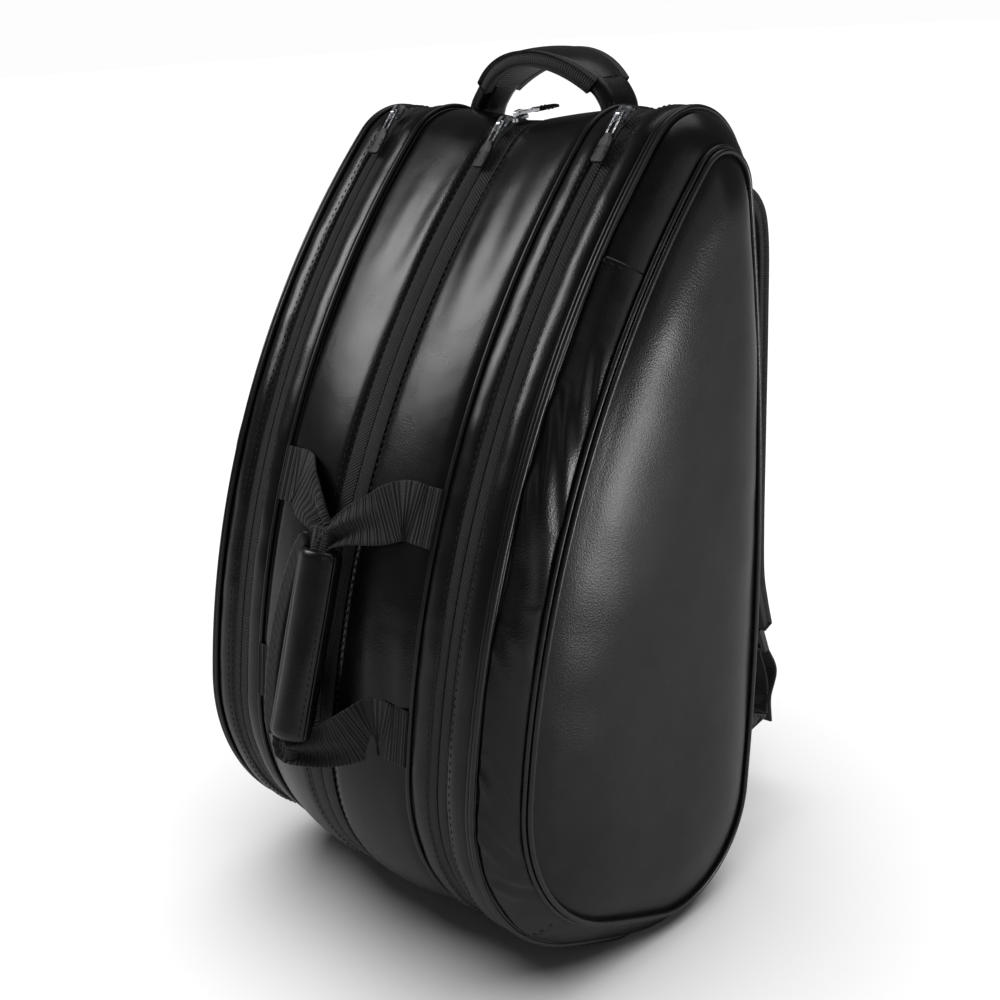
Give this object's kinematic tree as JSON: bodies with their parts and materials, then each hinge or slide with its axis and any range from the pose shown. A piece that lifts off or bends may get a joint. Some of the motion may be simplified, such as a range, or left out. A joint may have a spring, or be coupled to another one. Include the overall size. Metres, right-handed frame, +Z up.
{
  "type": "racket tournament bag",
  "caption": "Standing teardrop racket bag with zipped clamshell side pockets round a centre compartment, wrapped front grip, top handle and padded shoulder straps.",
  "frame": {"origin": "centre of the flat patch that the bag stands on", "axes": "+Z up, X across the three compartments, the front faces -Y and the back with its straps faces +Y"},
  "size_m": [0.344, 0.4163, 0.597],
  "materials": {
    "board": "matte",
    "buckle": "satin",
    "coated_fabric": "satin",
    "divider_fabric": "matte",
    "grip_leather": "satin",
    "mesh_fabric": "matte",
    "panel_fabric": "satin",
    "piping": "gloss",
    "pull_leather": "satin",
    "webbing": "matte",
    "zip_coil": "satin",
    "zip_metal": "polished",
    "zip_tape": "matte"
  },
  "bodies": {
    "bag": {"right_centre_gusset": "coated_fabric", "right_seam_piping": "piping", "right_divider": "divider_fabric", "right_mouth_band": "coated_fabric", "right_mouth_zip": "zip_tape", "right_strap_webbing": "webbing", "left_centre_gusset": "coated_fabric", "left_seam_piping": "piping", "left_divider": "divider_fabric", "left_mouth_band": "coated_fabric", "left_mouth_zip": "zip_tape", "left_strap_webbing": "webbing", "centre_zip_tapes": "zip_tape", "centre_zip_coil": "zip_coil", "base_panel": "coated_fabric", "base_board": "board", "back_panel": "coated_fabric", "back_board": "board", "top_handle_feet": "coated_fabric", "strap_tabs": "coated_fabric", "strap_yoke": "coated_fabric", "pocket_hinge_strips": "coated_fabric", "front_handle_webbing": "webbing"},
    "right_lid": {"right_lid_zip": "zip_tape", "right_lid_band": "coated_fabric", "right_rim_piping": "piping", "right_side_band_front": "coated_fabric", "right_side_band_rear": "coated_fabric", "right_panel_piping": "piping", "right_side_panel": "panel_fabric", "right_panel_board": "board"},
    "left_lid": {"left_lid_zip": "zip_tape", "left_lid_band": "coated_fabric", "left_rim_piping": "piping", "left_side_band_front": "coated_fabric", "left_side_band_rear": "coated_fabric", "left_panel_piping": "piping", "left_side_panel": "panel_fabric", "left_panel_board": "board"},
    "right_zip_slider": {"right_slider": "zip_metal"},
    "right_zip_pull": {"right_pull": "zip_metal", "right_pull_tab": "pull_leather"},
    "left_zip_slider": {"left_slider": "zip_metal"},
    "left_zip_pull": {"left_pull": "zip_metal", "left_pull_tab": "pull_leather"},
    "centre_front_zip_slider": {"centre_front_slider": "zip_metal"},
    "centre_front_zip_pull": {"centre_front_pull": "zip_metal", "centre_front_pull_tab": "pull_leather"},
    "centre_rear_zip_slider": {"centre_rear_slider": "zip_metal"},
    "centre_rear_zip_pull": {"centre_rear_pull": "zip_metal", "centre_rear_pull_tab": "pull_leather"},
    "carry_handle": {"top_handle": "coated_fabric", "top_handle_lining": "mesh_fabric"},
    "front_grip": {"grip_core": "webbing", "grip_sleeve": "grip_leather"},
    "grip_cover": {"grip_flap": "grip_leather"},
    "right_strap": {"right_strap_pad": "mesh_fabric"},
    "right_adjuster": {"right_strap_adjuster": "buckle"},
    "left_strap": {"left_strap_pad": "mesh_fabric"},
    "left_adjuster": {"left_strap_adjuster": "buckle"}
  },
  "joints": [
    {"name": "right_lid_hinge", "type": "hinge", "parent": "bag", "child": "right_lid", "pos_m": [0.106, 0.1116, 0.295], "axis": [0, 0, 1], "range_deg": [0, 80]},
    {"name": "left_lid_hinge", "type": "hinge", "parent": "bag", "child": "left_lid", "pos_m": [-0.106, 0.1116, 0.295], "axis": [0, 0, -1], "range_deg": [0, 80]},
    {"name": "right_zip_travel", "type": "hinge", "parent": "bag", "child": "right_zip_slider", "pos_m": [0.106, 0.46932, 0.08521], "axis": [1, 0, 0], "range_deg": [0, 37]},
    {"name": "right_pull_swing", "type": "hinge", "parent": "right_zip_slider", "child": "right_zip_pull", "pos_m": [0.106, 0.01562, 0.55943], "axis": [-1, 0, 0], "range_deg": [0, 140]},
    {"name": "left_zip_travel", "type": "hinge", "parent": "bag", "child": "left_zip_slider", "pos_m": [-0.106, 0.46932, 0.08521], "axis": [1, 0, 0], "range_deg": [0, 37]},
    {"name": "left_pull_swing", "type": "hinge", "parent": "left_zip_slider", "child": "left_zip_pull", "pos_m": [-0.106, 0.01562, 0.55943], "axis": [-1, 0, 0], "range_deg": [0, 140]},
    {"name": "centre_front_zip_travel", "type": "hinge", "parent": "bag", "child": "centre_front_zip_slider", "pos_m": [0, 0.45602, 0.06433], "axis": [1, 0, 0], "range_deg": [0, 17]},
    {"name": "centre_front_pull_swing", "type": "hinge", "parent": "centre_front_zip_slider", "child": "centre_front_zip_pull", "pos_m": [0, 0.01719, 0.55234], "axis": [-1, 0, 0], "range_deg": [0, 140]},
    {"name": "centre_rear_zip_travel", "type": "hinge", "parent": "bag", "child": "centre_rear_zip_slider", "pos_m": [0, 0.046, 0.501], "axis": [-1, 0, 0], "range_deg": [0, 18]},
    {"name": "centre_rear_pull_swing", "type": "hinge", "parent": "centre_rear_zip_slider", "child": "centre_rear_zip_pull", "pos_m": [0, 0.03506, 0.55726], "axis": [1, 0, 0], "range_deg": [0, 25]},
    {"name": "carry_handle_tilt", "type": "hinge", "parent": "bag", "child": "carry_handle", "pos_m": [0, 0.068, 0.572], "axis": [1, 0, 0], "range_deg": [-25, 25]},
    {"name": "front_grip_lift", "type": "slide", "parent": "bag", "child": "front_grip", "axis": [0, -0.9446, 0.3282], "range_m": [0, 0.045], "deforming": ["front_handle_webbing"]},
    {"name": "grip_cover_open", "type": "hinge", "parent": "front_grip", "child": "grip_cover", "pos_m": [0.0164, -0.18758, 0.24472], "axis": [0, 0.3282, 0.9446], "range_deg": [0, 140]},
    {"name": "right_strap_swing", "type": "hinge", "parent": "bag", "child": "right_strap", "pos_m": [0.074, 0.107, 0.504], "axis": [1, 0, 0], "range_deg": [0, 12], "deforming": ["right_strap_webbing"]},
    {"name": "right_adjuster_tilt", "type": "hinge", "parent": "right_strap", "child": "right_adjuster", "pos_m": [0.074, 0.186, 0.146], "axis": [1, 0, 0], "range_deg": [0, 30], "deforming": ["right_strap_webbing"]},
    {"name": "left_strap_swing", "type": "hinge", "parent": "bag", "child": "left_strap", "pos_m": [-0.074, 0.107, 0.504], "axis": [1, 0, 0], "range_deg": [0, 12], "deforming": ["left_strap_webbing"]},
    {"name": "left_adjuster_tilt", "type": "hinge", "parent": "left_strap", "child": "left_adjuster", "pos_m": [-0.074, 0.186, 0.146], "axis": [1, 0, 0], "range_deg": [0, 30], "deforming": ["left_strap_webbing"]}
  ]
}
